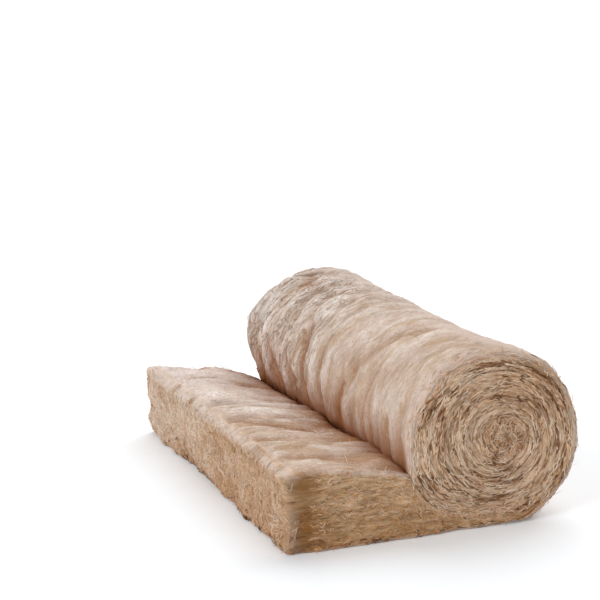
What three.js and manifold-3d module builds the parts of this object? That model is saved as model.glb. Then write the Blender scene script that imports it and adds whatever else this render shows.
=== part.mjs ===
// A roll of glass-wool loft insulation, partly unrolled on the floor: one continuous mat, about
// three metres of it still wound and the rest lying flat at its recovered thickness.
// Millimetres, +Z up. The roll's axis lies along Y and the free end points to -X. The origin is at
// the middle of the footprint, on the floor.
import * as THREE from "three";
import { mergeVertices } from "three/addons/utils/BufferGeometryUtils.js";
import Module from "manifold-3d";

// The mat as it is sold, and how far it has been unrolled.
const MAT_WIDTH = 1140; // along the roll's axis
const MAT_THICKNESS = 170; // recovered, at the free end
const WOUND_THICKNESS = 38; // still squeezed, as wound
const ROLL_RADIUS = 195; // at its fullest, at both ends
const AXIS_HEIGHT = 191; // the roll sags a little where it lies
const LEAF_LENGTH = 455; // from the roll's axis to the free end

// The roll is waisted near its front end and full in its rear half.
const WAIST_RADIUS = 184;
const WAIST_FROM_FRONT = 240;
const REAR_RADIUS = 193;
const REAR_FROM_FRONT = 730;
const RIM_ROUNDING = 28;
const ROLL_FACETS = 60;
const RIM_FACETS = 4;
const LENGTH_FACETS = 46;

// The leaf's top slopes down from the free end and dives along the roll's skin.
const EDGE_ROUNDING = 22; // top edge of the free end
const FOOT_ROUNDING = 14;
const SHOULDER_X = -300; // where the top starts to dip, from the roll's axis
const SHOULDER_HEIGHT = 156;
const LIP_X = -216; // where it turns down beside the roll
const LIP_HEIGHT = 143;
const TOP_HANDLES = { first: 0.5, second: 0.7, rise: 4 }; // shares of the way to the shoulder
const LIP_HANDLE = { back: 40, rise: 6 };
const FLAT_REACH = 62; // how far past the axis the underside stays on the floor
const HEEL = { x: 104, z: 40 }; // where the underside has left the floor and runs into the roll
const HEEL_HANDLE = 0.6; // of the way from the flat to the heel
const LEAF_SWELL = 12; // how much higher the leaf's rear half stands at its free end
const SWELL_CENTRE = 210; // along Y
const LEAF_STEPS = 38;
const LEAF_ARC_FACETS = 5;

// The seam between neighbouring turns, which shows on both ends as a spiral gap. It starts in the
// crevice beside the leaf and ends at the knot in the middle.
const CREVICE_ANGLE = THREE.MathUtils.degToRad(200); // from +X, seen from the front
const TURNS = 4.45;
const KNOT = { x: 29, z: -5 }; // the innermost turn, off the roll's axis
const SQUEEZE = 0.8; // of a turn: the roll's weight flattens the turns where they meet the floor
const SQUEEZE_STARTS = 0.05; // in turns past the crevice
const SQUEEZE_ENDS = 0.2;
const SQUEEZE_FADES = 3;
const SEAM_DEPTH = 24;
const SEAM_MOUTH = 12;
const SEAM_KNEE = { depth: 0.4, mouth: 0.6 }; // shares: the gap narrows slowly at first
const SEAM_OVERSHOOT = 4; // past the end face, so that the cut is clean
const SEAM_STEPS = 120;
const UNDER_ROLL_TURNS = 0.31; // how far round the leaf's own section follows the seam
const UNDER_ROLL_STEP = 0.02;

// The crevice between the leaf and the roll's skin stands open in the rear half, and is pressed shut
// at the front.
const CREVICE_OPENS = 5; // how far both skins sink beside it at the rear
const CREVICE_CLOSES = 4; // and how far they swell at the front
const CREVICE_REACH = 40; // over the skin, to each side
const CREVICE_TURNS = 0.06; // how far past its mouth the roll's skin still sinks with it
const OPENS_FROM = 100; // along Y
const OPENS_TO = 350;
const CLOSES_FROM = -200;
const CLOSES_TO = -500;

// The main furrows of the slack skin. along counts over the skin from the crevice, up round the roll
// and, less than zero, out over the leaf; across is along Y. spread is to each side.
const FURROWS = [
  { from: { along: 10, across: -440 }, to: { along: 100, across: -440 }, depth: 4, spread: 16 },
  { from: { along: 15, across: -280 }, to: { along: 180, across: -300 }, depth: 5, spread: 18 },
  { from: { along: 0, across: -100 }, to: { along: 120, across: -140 }, depth: 7, spread: 22 },
  { from: { along: 20, across: -10 }, to: { along: 165, across: 15 }, depth: 5, spread: 18 },
  { from: { along: 20, across: 105 }, to: { along: 190, across: 160 }, depth: 9, spread: 28 },
  { from: { along: 30, across: 170 }, to: { along: 120, across: 250 }, depth: 7, spread: 18 },
  { from: { along: 40, across: 290 }, to: { along: 130, across: 400 }, depth: 7, spread: 22 },
  { from: { along: 50, across: 430 }, to: { along: 130, across: 490 }, depth: 6, spread: 22 },
  { from: { along: 155, across: -175 }, to: { along: 360, across: -285 }, depth: 4, spread: 30 },
  { from: { along: 300, across: 400 }, to: { along: 345, across: 480 }, depth: 8, spread: 28 },
  { from: { along: 400, across: 60 }, to: { along: 600, across: 120 }, depth: 8, spread: 28 },
  { from: { along: -40, across: 310 }, to: { along: -190, across: 430 }, depth: 7, spread: 36 },
  { from: { along: -70, across: 40 }, to: { along: -220, across: 110 }, depth: 5, spread: 26 },
  { from: { along: -90, across: -165 }, to: { along: -240, across: -80 }, depth: 7, spread: 26 },
  { from: { along: -110, across: -335 }, to: { along: -235, across: -260 }, depth: 6, spread: 24 },
  { from: { along: -100, across: -470 }, to: { along: -220, across: -430 }, depth: 6, spread: 24 },
  { from: { along: 10, across: 570 }, to: { along: -30, across: 570 }, depth: 16, spread: 50 },
  { from: { along: -150, across: 570 }, to: { along: -205, across: 570 }, depth: 16, spread: 50 },
];

const SLIVER = 0.2; // facets thinner than this are merged into their neighbours
const WELD = 1e-3;

const AXIS_X = (LEAF_LENGTH - ROLL_RADIUS) / 2;

const { smoothstep, lerp } = THREE.MathUtils;
const wasm = await Module();
wasm.setup();

function solidOf(geometry) {
  const bare = geometry.clone();
  bare.deleteAttribute("normal");
  bare.deleteAttribute("uv");
  const merged = mergeVertices(bare, WELD);
  const mesh = new wasm.Mesh({
    numProp: 3,
    vertProperties: new Float32Array(merged.attributes.position.array),
    triVerts: new Uint32Array(merged.index.array),
  });
  return new wasm.Manifold(mesh);
}

function geometryOf(solid) {
  const mesh = solid.getMesh();
  const geometry = new THREE.BufferGeometry();
  geometry.setAttribute("position", new THREE.BufferAttribute(mesh.vertProperties, 3));
  geometry.setIndex(new THREE.BufferAttribute(mesh.triVerts, 1));
  geometry.computeVertexNormals();
  return geometry;
}

// A point of the seam in the roll's cross-section, from the roll's axis. turns counts inwards from
// the crevice.
function seamPoint(turns) {
  const squeezed = smoothstep(turns, SQUEEZE_STARTS, SQUEEZE_ENDS);
  const layers = turns + SQUEEZE * squeezed * Math.max(0, 1 - turns / SQUEEZE_FADES);
  const radius = AXIS_HEIGHT - WOUND_THICKNESS * layers;
  const inwards = 1 - radius / AXIS_HEIGHT;
  const angle = CREVICE_ANGLE + 2 * Math.PI * turns;
  return new THREE.Vector2(
    KNOT.x * inwards + radius * Math.cos(angle),
    KNOT.z * inwards + radius * Math.sin(angle),
  );
}

class Seam extends THREE.Curve {
  constructor(endY) {
    super();
    this.endY = endY;
  }

  getPoint(t, target = new THREE.Vector3()) {
    const at = seamPoint(t * TURNS);
    return target.set(AXIS_X + at.x, this.endY, AXIS_HEIGHT + at.y);
  }
}

// The roll's side between its rims: its radius, and where that is along Y.
const rollSide = new THREE.SplineCurve([
  new THREE.Vector2(ROLL_RADIUS, -MAT_WIDTH / 2 + RIM_ROUNDING),
  new THREE.Vector2(WAIST_RADIUS, -MAT_WIDTH / 2 + WAIST_FROM_FRONT),
  new THREE.Vector2(REAR_RADIUS, -MAT_WIDTH / 2 + REAR_FROM_FRONT),
  new THREE.Vector2(ROLL_RADIUS, MAT_WIDTH / 2 - RIM_ROUNDING),
]).getPoints(LENGTH_FACETS);

function rollRadius(y) {
  const next = rollSide.findIndex((point) => point.y > y);
  if (next < 1) return ROLL_RADIUS;
  const [before, after] = [rollSide[next - 1], rollSide[next]];
  return lerp(before.x, after.x, (y - before.y) / (after.y - before.y));
}

// A wedge swept along the seam on one end face. inwards is +1 on the front end and -1 on the rear.
function seamCutter(inwards) {
  const half = SEAM_MOUTH / 2;
  const knee = -inwards * SEAM_DEPTH * SEAM_KNEE.depth;
  const wedge = new THREE.Shape([
    new THREE.Vector2(inwards * SEAM_OVERSHOOT, half),
    new THREE.Vector2(knee, half * SEAM_KNEE.mouth),
    new THREE.Vector2(-inwards * SEAM_DEPTH, 0),
    new THREE.Vector2(knee, -half * SEAM_KNEE.mouth),
    new THREE.Vector2(inwards * SEAM_OVERSHOOT, -half),
  ]);
  return new THREE.ExtrudeGeometry(wedge, {
    extrudePath: new Seam((-inwards * MAT_WIDTH) / 2),
    steps: SEAM_STEPS,
    bevelEnabled: false,
  });
}

// How far the slack skin sinks in its furrows and beside the crevice, measured inwards.
function skinSink(along, across) {
  let sink = 0;
  for (const { from, to, depth, spread } of FURROWS) {
    const furrow = new THREE.Line3(
      new THREE.Vector3(from.along, from.across, 0),
      new THREE.Vector3(to.along, to.across, 0),
    );
    const here = new THREE.Vector3(along, across, 0);
    const aside = furrow.closestPointToPoint(here, true, new THREE.Vector3()).distanceTo(here);
    sink += depth * Math.exp(-((aside / spread) ** 2));
  }
  const opens = CREVICE_OPENS * smoothstep(across, OPENS_FROM, OPENS_TO);
  const closes = CREVICE_CLOSES * smoothstep(-across, -CLOSES_FROM, -CLOSES_TO);
  return sink + (opens - closes) * Math.exp(-((along / CREVICE_REACH) ** 2));
}

// How far the roll's skin sinks at a point of its section, which is less and less down the crevice.
function rollSink(x, y, z) {
  const turn = (CREVICE_ANGLE - Math.atan2(z, x)) / (2 * Math.PI);
  const wrapped = THREE.MathUtils.euclideanModulo(turn + UNDER_ROLL_TURNS, 1) - UNDER_ROLL_TURNS;
  const along = 2 * Math.PI * ROLL_RADIUS * Math.max(0, wrapped);
  const onSkin = smoothstep(Math.hypot(x, z), ROLL_RADIUS - RIM_ROUNDING, WAIST_RADIUS);
  return onSkin * smoothstep(wrapped, -CREVICE_TURNS, 0) * skinSink(along, y);
}

// The wound roll, turned about its own axis with rounded rims.
function rollGeometry() {
  const half = MAT_WIDTH / 2;
  const rim = (end) =>
    Array.from({ length: RIM_FACETS + 1 }, (_, i) => {
      const turn = (Math.PI / 2) * (i / RIM_FACETS);
      return new THREE.Vector2(
        ROLL_RADIUS - RIM_ROUNDING * (1 - Math.sin(turn)),
        end * (half - RIM_ROUNDING * (1 - Math.cos(turn))),
      );
    });
  const profile = [
    new THREE.Vector2(0, -half),
    ...rim(-1),
    ...rollSide.slice(1, -1),
    ...rim(1).reverse(),
    new THREE.Vector2(0, half),
  ];
  const geometry = new THREE.LatheGeometry(profile, ROLL_FACETS);
  const at = geometry.attributes.position;
  for (let i = 0; i < at.count; i++) {
    const [x, y, z] = [at.getX(i), at.getY(i), at.getZ(i)];
    const kept = 1 - rollSink(x, y, z) / ROLL_RADIUS;
    at.setXYZ(i, kept * x, y, kept * z);
  }
  return geometry.translate(AXIS_X, 0, AXIS_HEIGHT);
}

// The unrolled leaf with the squeezed mat under the roll, extruded across the mat's width.
function leafGeometry() {
  const end = AXIS_X - LEAF_LENGTH;
  const shoulder = AXIS_X + SHOULDER_X;
  const lip = AXIS_X + LIP_X;
  const outline = new THREE.Shape();
  outline.moveTo(end, FOOT_ROUNDING);
  outline.lineTo(end, MAT_THICKNESS - EDGE_ROUNDING);
  outline.quadraticCurveTo(end, MAT_THICKNESS, end + EDGE_ROUNDING, MAT_THICKNESS);
  outline.bezierCurveTo(
    lerp(end, shoulder, TOP_HANDLES.first), MAT_THICKNESS,
    lerp(end, shoulder, TOP_HANDLES.second), SHOULDER_HEIGHT + TOP_HANDLES.rise,
    shoulder, SHOULDER_HEIGHT,
  );
  outline.quadraticCurveTo(lip - LIP_HANDLE.back, LIP_HEIGHT + LIP_HANDLE.rise, lip, LIP_HEIGHT);
  for (let turns = 0; turns <= UNDER_ROLL_TURNS; turns += UNDER_ROLL_STEP) {
    const at = seamPoint(turns);
    outline.lineTo(AXIS_X + at.x, AXIS_HEIGHT + at.y);
  }
  outline.lineTo(AXIS_X + HEEL.x, HEEL.z);
  const heelHandle = lerp(FLAT_REACH, HEEL.x, HEEL_HANDLE);
  outline.quadraticCurveTo(AXIS_X + heelHandle, 0, AXIS_X + FLAT_REACH, 0);
  outline.lineTo(AXIS_X, 0);
  outline.lineTo(end + FOOT_ROUNDING, 0);
  outline.quadraticCurveTo(end, 0, end, FOOT_ROUNDING);

  const geometry = new THREE.ExtrudeGeometry(outline, {
    depth: MAT_WIDTH,
    steps: LEAF_STEPS,
    curveSegments: LEAF_ARC_FACETS,
    bevelEnabled: false,
  });
  geometry.rotateX(Math.PI / 2).translate(0, MAT_WIDTH / 2, 0);
  return settled(geometry);
}

// The free end stands highest in its rear half, where the mat has recovered most, and the furrows
// lie in its top. Past the axis the underside draws in with the roll's waist, and its cut edges with
// the roll's rims.
function settled(geometry) {
  const creviceX = AXIS_X + seamPoint(0).x;
  const at = geometry.attributes.position;
  for (let i = 0; i < at.count; i++) {
    const [x, y, z] = [at.getX(i), at.getY(i), at.getZ(i)];
    const fromCrevice = smoothstep(AXIS_X + LIP_X - x, 0, LEAF_LENGTH + LIP_X);
    const rise = LEAF_SWELL * fromCrevice * Math.cos((Math.PI * (y - SWELL_CENTRE)) / MAT_WIDTH) ** 2;
    const sink = skinSink(Math.min(0, x - creviceX), y);
    const heel = smoothstep(x, AXIS_X + FLAT_REACH, AXIS_X + HEEL.x);
    const waist = lerp(1, rollRadius(y) / ROLL_RADIUS, heel);
    const drawnIn = RIM_ROUNDING * smoothstep(x, AXIS_X, AXIS_X + HEEL.x);
    const height = z * (1 + (rise - sink) / MAT_THICKNESS);
    at.setX(i, AXIS_X + waist * (x - AXIS_X));
    at.setY(i, y * (1 - (2 * drawnIn) / MAT_WIDTH));
    at.setZ(i, AXIS_HEIGHT + waist * (height - AXIS_HEIGHT));
  }
  return geometry;
}

// What is above the floor, as a block to trim the sagging roll with.
function aboveFloor() {
  const span = 4 * MAT_WIDTH;
  return new THREE.BoxGeometry(span, span, span).translate(0, 0, span / 2);
}

function mat() {
  const roll = solidOf(rollGeometry()).intersect(solidOf(aboveFloor()));
  const joined = roll.add(solidOf(leafGeometry()));
  const cut = joined.subtract(solidOf(seamCutter(1))).subtract(solidOf(seamCutter(-1)));
  const wool = cut.simplify(SLIVER);
  const look = new THREE.MeshStandardMaterial({ color: 0xb79a7c, roughness: 0.95, metalness: 0 });
  const mesh = new THREE.Mesh(geometryOf(wool), look);
  mesh.name = "wool_roll";
  return mesh;
}

const insulationRoll = new THREE.Group();
insulationRoll.add(mat());

export default insulationRoll;
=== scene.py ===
import itertools
import math

import bpy
import numpy as np
from mathutils import Matrix, Vector
from mathutils.kdtree import KDTree


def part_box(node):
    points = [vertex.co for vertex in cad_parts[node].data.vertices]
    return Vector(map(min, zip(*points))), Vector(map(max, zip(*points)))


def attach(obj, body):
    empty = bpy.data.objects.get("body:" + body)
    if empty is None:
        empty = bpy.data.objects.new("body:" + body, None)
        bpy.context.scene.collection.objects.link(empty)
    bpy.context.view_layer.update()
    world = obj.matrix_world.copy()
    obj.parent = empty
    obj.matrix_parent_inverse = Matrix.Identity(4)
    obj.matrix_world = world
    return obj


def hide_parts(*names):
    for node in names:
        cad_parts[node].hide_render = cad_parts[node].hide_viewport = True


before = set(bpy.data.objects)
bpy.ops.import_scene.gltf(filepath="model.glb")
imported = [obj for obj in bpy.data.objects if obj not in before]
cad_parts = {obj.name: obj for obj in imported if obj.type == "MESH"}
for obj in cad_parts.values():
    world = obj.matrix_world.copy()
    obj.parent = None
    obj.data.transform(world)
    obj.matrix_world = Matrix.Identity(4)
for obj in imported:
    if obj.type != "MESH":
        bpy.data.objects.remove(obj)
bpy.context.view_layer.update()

# Camera: a long lens set well back and a little above the roll, which sees the front cut end
# square on, the free end of the leaf at a slant, and both skins.
CAMERA_PLACE = (-1.4364, -4.1372, 1.2216)
CAMERA_HEADING, CAMERA_DIP, CAMERA_LEAN = map(math.radians, (18.012, 10.526, -2.634))
LENS_MM = 115.3
FURTHEST_SEEN = 50  # metres

bpy.ops.object.camera_add()
camera = bpy.context.object
camera.data.lens = LENS_MM
camera.data.clip_end = FURTHEST_SEEN
camera.matrix_world = (
    Matrix.Translation(CAMERA_PLACE)
    @ Matrix.Rotation(-CAMERA_HEADING, 4, "Z")
    @ Matrix.Rotation(math.pi / 2 - CAMERA_DIP, 4, "X")
    @ Matrix.Rotation(CAMERA_LEAN, 4, "Z")
)
bpy.context.scene.camera = camera

# Studio: a white painted floor that carries the soft shadow, a white surround, one broad light high
# up behind the roll on its right, and a broad low one on the left that lights the free end.
FLOOR_HALF_SIZE = 40.0
# The floor also glows for the camera alone, a little more to the right of the roll: painted light that
# keeps it white where the roll throws warm light on it.
FLOOR_LIFT = {"From Min": 0.30, "From Max": 0.50, "To Min": 0.15, "To Max": 0.18}  # over X, in metres
SURROUND_LIGHT = 0.35
LIGHTS = (  # name, place, strength, and spread in degrees
    ("broad light behind the roll", (0.85, 1.2, 1.55), 1.98, 60),
    ("low light beside the free end", (-1.7, -0.6, 1.0), 1.35, 40),
)


def srgb(code):
    """A hex colour as linear RGBA."""
    parts = [int(code[i : i + 2], 16) / 255 for i in (1, 3, 5)]
    return [p / 12.92 if p <= 0.04045 else ((p + 0.055) / 1.055) ** 2.4 for p in parts] + [1.0]


def add_node(tree, kind, settings=None, values=None, links=None):
    """Adds a node, sets its properties and its sockets' values, and links sockets to others."""
    node = tree.nodes.new(kind)
    for name, value in (settings or {}).items():
        setattr(node, name, value)
    for name, value in (values or {}).items():
        node.inputs[name].default_value = value
    for name, source in (links or {}).items():
        tree.links.new(source, node.inputs[name])
    return node


def new_material(name):
    """A material with an empty tree."""
    made = bpy.data.materials.new(name)
    made.use_nodes = True
    made.node_tree.nodes.clear()
    return made, made.node_tree


bpy.ops.mesh.primitive_plane_add(size=2 * FLOOR_HALF_SIZE)
floor = bpy.context.object
floor.name = "studio_floor"
floor_paint, tree = new_material("white studio floor")
paint = add_node(tree, "ShaderNodeBsdfPrincipled", values={"Base Color": srgb("#f6f9fc"), "Roughness": 0.9})
path = add_node(tree, "ShaderNodeLightPath")
floor_at = add_node(tree, "ShaderNodeTexCoord")
floor_parts = add_node(tree, "ShaderNodeSeparateXYZ", links={"Vector": floor_at.outputs["Object"]})
lift_there = add_node(tree, "ShaderNodeMapRange", values=FLOOR_LIFT,
                      links={"Value": floor_parts.outputs["X"]})
lift = add_node(tree, "ShaderNodeMath", {"operation": "MULTIPLY"},
                links={0: path.outputs["Is Camera Ray"], 1: lift_there.outputs["Result"]})
glow = add_node(tree, "ShaderNodeEmission", values={"Color": (1, 1, 1, 1)},
                links={"Strength": lift.outputs["Value"]})
both = add_node(tree, "ShaderNodeAddShader", links={0: paint.outputs["BSDF"], 1: glow.outputs["Emission"]})
add_node(tree, "ShaderNodeOutputMaterial", links={"Surface": both.outputs["Shader"]})
floor.data.materials.append(floor_paint)

world = bpy.data.worlds.new("white surround")
bpy.context.scene.world = world
world.use_nodes = True
tree = world.node_tree
tree.nodes.clear()
path = add_node(tree, "ShaderNodeLightPath")
strength = add_node(tree, "ShaderNodeMapRange", values={"To Min": SURROUND_LIGHT, "To Max": 1.0},
                    links={"Value": path.outputs["Is Camera Ray"]})
surround = add_node(tree, "ShaderNodeBackground", values={"Color": (1, 1, 1, 1)},
                    links={"Strength": strength.outputs["Result"]})
add_node(tree, "ShaderNodeOutputWorld", links={"Surface": surround.outputs["Background"]})

for name, place, energy, spread in LIGHTS:
    bpy.ops.object.light_add(type="SUN", location=place)
    lamp = bpy.context.object
    lamp.name = name
    lamp.data.energy = energy
    lamp.data.angle = math.radians(spread)
    lamp.rotation_euler = (-Vector(place)).to_track_quat("-Z", "Y").to_euler()

bpy.context.scene.view_settings.view_transform = "Standard"

# The mat: one length of glass wool bound with a brown binder, wound up from one end. Its two faces
# are felted skins, and its ends and sides were cut, so they show the layers the fibres lie in. It
# is drawn as it was made: a strip that lies flat, passes under the roll and winds to the middle.
mat_low, mat_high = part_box("wool_roll")

# Lengths are in metres, and a place in the roll's section counts from the roll's axis.
HALF_WIDTH = (mat_high.y - mat_low.y) / 2
MAT_THICKNESS = 0.170  # recovered, at the free end
WOUND_THICKNESS = 0.038
FULL_RADIUS = 0.195
SEAM_RADIUS = 0.191  # of the outer turn, before its skin is slack
AXIS_X = mat_high.x - FULL_RADIUS
AXIS_Z = mat_high.z - FULL_RADIUS
AXIS = (AXIS_X, 0, AXIS_Z)
LEAF_LENGTH = AXIS_X - mat_low.x
CREVICE_ANGLE = math.radians(200)
BOTTOM_TURN = 0.75 - CREVICE_ANGLE / (2 * math.pi)
KNOT_X, KNOT_Z = 0.029, -0.005
TURNS = SEAM_RADIUS / WOUND_THICKNESS
FOLD_TURN = 0.075  # how far down the crevice is open
FREE_ROUNDING_TOP = 0.021
FREE_ROUNDING_FOOT = 0.012
FREE_ROUNDING_SIDE = 0.016
GAP_DEPTH = 0.042  # of the seam, at the cut ends

# The roll's weight squeezes the turns under it, by a share of a turn that fades over three turns.
SQUEEZE, SQUEEZE_STARTS, SQUEEZE_ENDS, SQUEEZE_FADES = 0.8, 0.05, 0.2, 3
WANDER = ((0.15, 3.3, 11), (0.06, 8.7, 12))  # of the seam: share of a turn, waves a turn, and seed
STRAIGHT_UNTIL, WANDERS_FROM = 0.1, 0.5  # in turns
CLOSING = 0.4  # of a turn, over which the seam runs out in the knot
SHUT_GAP, WOUND_GAP, OPEN_GAP = 0.00008, 0.00012, 0.0020  # half the seam's width
OPEN_WAVES = 4.3  # a turn, in which the seam stands open

# The leaf's top between the free end and the crevice: two handles, the shoulder, and the handle of
# the lip, each as its X and its height.
LEAF_TOP = ((-0.400, 0.172), (-0.335, 0.166), (-0.272, 0.152), (-0.238, 0.1445))
DIVE_HANDLE = 0.024
CURVE_POINTS = 60
UNDER_X = -0.200  # from where the leaf's underside lies below the roll
SAG, SAG_FADES = 0.008, 0.04  # of the roll's skin beside the floor, over its height

# How round the mat's edges are: on the leaf, on the roll, and where the seam is open or shut.
LEAF_EDGE, ROLL_EDGE, LEAF_TOP_EDGE = 0.007, 0.021, 0.010
SHUT_LIP, WOUND_LIP, OPEN_LIP, OUTER_LIP = 0.0002, 0.0005, 0.0045, 0.0007
OUTER_LIMIT, INNER_LIMIT = 0.6, 0.3  # of the mat's thickness

# The grid: stations along the mat and rows over its width. A row lies on a rounded edge, on the
# wall of the open seam or on a skin.
LEAF_STATIONS = 44
TURN_STATIONS = 120
LEAF_ROWS = 27
FACE_ROWS = 9
FACE_CHANGE = LEAF_STATIONS + 11
ROUND_ROWS = 3
WALL_ROWS = 2
MIDDLE_ROWS = 250
END_ROWS = ROUND_ROWS + WALL_ROWS
ROWS = 2 * END_ROWS + MIDDLE_ROWS
MERGED = 2e-5
SLIVER = 1e-5


def ramp(value, start, end):
    """0 before start, 1 after end, and smooth between."""
    part = np.clip((value - start) / (end - start), 0, 1)
    return part * part * (3 - 2 * part)


def fluff(points, seed, cells=32):
    """A smooth random field from -1 to 1 whose lumps are about one unit apart."""
    table = np.random.default_rng(seed).uniform(-1, 1, (cells, cells, cells))
    cell = np.floor(points).astype(int)
    part = points - cell
    part = part * part * (3 - 2 * part)
    total = np.zeros(len(points))
    for corner in itertools.product((0, 1), repeat=3):
        share = np.prod(np.where(corner, part, 1 - part), axis=1)
        i, j, k = ((cell + corner) % cells).T
        total += share * table[i, j, k]
    return total


EVEN = 9  # metres: a lump as long as this shows no change on that axis
FIELD_START, FIELD_STEP = 100.37, 7.7  # keep the fields of the seeds apart


def lumps(lie, along, across, over, seed):
    """The field on the mat, with its lumps' sizes along it, through it and over its width."""
    return fluff(lie / (along, across, over) + FIELD_START + FIELD_STEP * seed, seed)


def line_noise(along, seed):
    """The same field along one line."""
    along = np.asarray(along, float)
    return fluff(np.stack([along, 0 * along + 0.5, 0 * along + 0.5], axis=1), seed)


def seam(turns):
    """The seam between neighbouring turns, in the roll's section."""
    turns = np.asarray(turns, float)
    squeezed = ramp(turns, SQUEEZE_STARTS, SQUEEZE_ENDS)
    layers = turns + SQUEEZE * squeezed * np.clip(1 - turns / SQUEEZE_FADES, 0, 1)
    wander = sum(share * line_noise(turns * waves, seed) for share, waves, seed in WANDER)
    layers = layers + wander * ramp(turns, STRAIGHT_UNTIL, WANDERS_FROM)
    radius = np.clip(SEAM_RADIUS - WOUND_THICKNESS * layers, 0, None)
    radius = radius * (1 - ramp(turns, TURNS - CLOSING, TURNS))
    inwards = 1 - radius / SEAM_RADIUS
    angle = CREVICE_ANGLE + 2 * math.pi * turns
    x = KNOT_X * inwards + radius * np.cos(angle)
    return np.stack([x, KNOT_Z * inwards + radius * np.sin(angle)], axis=1)


def bezier(a, b, c, d, count):
    """A curve of the section from a to d, with its handles b and c."""
    t = np.linspace(0, 1, count)[:, None]
    a, b, c, d = map(np.array, (a, b, c, d))
    return (1 - t) ** 3 * a + 3 * t * (1 - t) ** 2 * b + 3 * t * t * (1 - t) * c + t**3 * d


def lengths_along(line):
    """How far along a line each of its points lies."""
    return np.concatenate([[0], np.cumsum(np.linalg.norm(np.diff(line, axis=0), axis=1))])


def respaced(line, count):
    """The same line with evenly spaced points."""
    along = lengths_along(line)
    at = np.linspace(0, along[-1], count)
    return np.stack([np.interp(at, along, line[:, k]) for k in range(2)], axis=1)


def normals_of(line, towards):
    """Unit normals of a line in the section, on the side given by towards, +1 left or -1 right."""
    tangent = np.gradient(line, axis=0)
    tangent /= np.maximum(np.linalg.norm(tangent, axis=1), 1e-9)[:, None]
    return towards * np.stack([-tangent[:, 1], tangent[:, 0]], axis=1)


# Stations run along the mat: first the leaf, then a fixed number in each turn, so that a station
# and the one a whole turn later lie at the same angle.
turn_at = np.arange(0, math.ceil((TURNS + 1) * TURN_STATIONS) + 1) / TURN_STATIONS
centre_line = seam(turn_at)
to_middle = normals_of(seam(np.clip(turn_at, 0, TURNS - 0.05)), 1)
openness = np.clip(-0.15 + 1.5 * line_noise(turn_at * OPEN_WAVES, 5), 0, 1)
openness = openness * ramp(turn_at, 0.3, 0.6) * (1 - ramp(turn_at, TURNS - 2.6, TURNS - 1.2))
gap_half = SHUT_GAP + WOUND_GAP * ramp(turn_at, 0.25, 0.5) + OPEN_GAP * openness
gap_half = gap_half + OPEN_GAP * (1 - ramp(turn_at, 0.0, 0.05))
gap_half = np.where(turn_at >= TURNS, 0, gap_half)

crevice_start = centre_line[0] - gap_half[0] * to_middle[0]
dive = centre_line[1] - centre_line[0]
dive = dive / np.linalg.norm(dive)
top_edge = (-LEAF_LENGTH + FREE_ROUNDING_TOP, MAT_THICKNESS - AXIS_Z)
first_handle, second_handle, shoulder, lip_handle = [(x, height - AXIS_Z) for x, height in LEAF_TOP]
before_shoulder = bezier(top_edge, first_handle, second_handle, shoulder, CURVE_POINTS)
dive_handle = crevice_start - DIVE_HANDLE * dive
past_shoulder = bezier(shoulder, lip_handle, dive_handle, crevice_start, CURVE_POINTS)
leaf_top = respaced(np.concatenate([before_shoulder, past_shoulder[1:]]), LEAF_STATIONS + 1)
inner_line = np.concatenate([leaf_top[:-1], centre_line - gap_half[:, None] * to_middle])
inner_line[LEAF_STATIONS:][turn_at >= TURNS] = centre_line[turn_at >= TURNS]

bottom_x = np.linspace(-LEAF_LENGTH + FREE_ROUNDING_FOOT, UNDER_X, LEAF_STATIONS + 1)
leaf_bottom = np.stack([bottom_x, np.full(LEAF_STATIONS + 1, -AXIS_Z)], axis=1)
under = np.stack([UNDER_X * (1 - turn_at / BOTTOM_TURN), np.full(len(turn_at), -AXIS_Z)], axis=1)
skin_angle = CREVICE_ANGLE + 2 * math.pi * turn_at
skin = SEAM_RADIUS * np.stack([np.cos(skin_angle), np.sin(skin_angle)], axis=1)
height = skin[:, 1] + AXIS_Z
skin[:, 1] = np.clip(height - SAG * np.exp(-height / SAG_FADES), 0, None) - AXIS_Z
earlier = np.maximum(np.arange(len(turn_at)) - TURN_STATIONS, 0)
wound = centre_line[earlier] + gap_half[earlier, None] * to_middle[earlier]
wound_part = ramp(turn_at, 0.93, 1.0)[:, None]
outer = np.where((turn_at < BOTTOM_TURN)[:, None], under, skin * (1 - wound_part) + wound * wound_part)
outer_line = np.concatenate([leaf_bottom[:-1], outer])

last_station = len(outer_line) - 1
fold_station = LEAF_STATIONS + round(FOLD_TURN * TURN_STATIONS)
wound_first = fold_station + TURN_STATIONS
station_turn = np.concatenate([np.full(LEAF_STATIONS, -1.0), turn_at])
outer_out = normals_of(outer_line, -1)
inner_out = normals_of(inner_line, 1)
inner_out[station_turn >= TURNS - 0.02] = 0
station_along = lengths_along((outer_line + inner_line) / 2)
step_length = np.gradient(station_along)
thickness = np.linalg.norm(inner_line - outer_line, axis=1)
in_roll = ramp(station_turn, BOTTOM_TURN, 0.4) * (1 - ramp(station_turn, 0.95, 1.0))
lip = SHUT_LIP + WOUND_LIP * ramp(station_turn, 0.25, 0.5)
lip = lip + OPEN_LIP * np.concatenate([np.zeros(LEAF_STATIONS), openness])
lip_before = np.concatenate([np.zeros(LEAF_STATIONS), openness[earlier]]) * OPEN_LIP + OUTER_LIP
outer_round = np.where(station_turn < 1, LEAF_EDGE + ROLL_EDGE * in_roll, lip_before)
inner_round = np.where(station_turn < 0, LEAF_TOP_EDGE, lip)
outer_round = np.minimum(outer_round, OUTER_LIMIT * thickness)
inner_round = np.minimum(inner_round, INNER_LIMIT * thickness)


def at(values, station):
    """A value or a point of the section, also between two stations."""
    station = np.clip(station, 0, len(values) - 1)
    first = np.minimum(station.astype(int), len(values) - 2)
    part = station - first if values.ndim == 1 else (station - first)[:, None]
    return values[first] + (values[first + 1] - values[first]) * part


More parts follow.
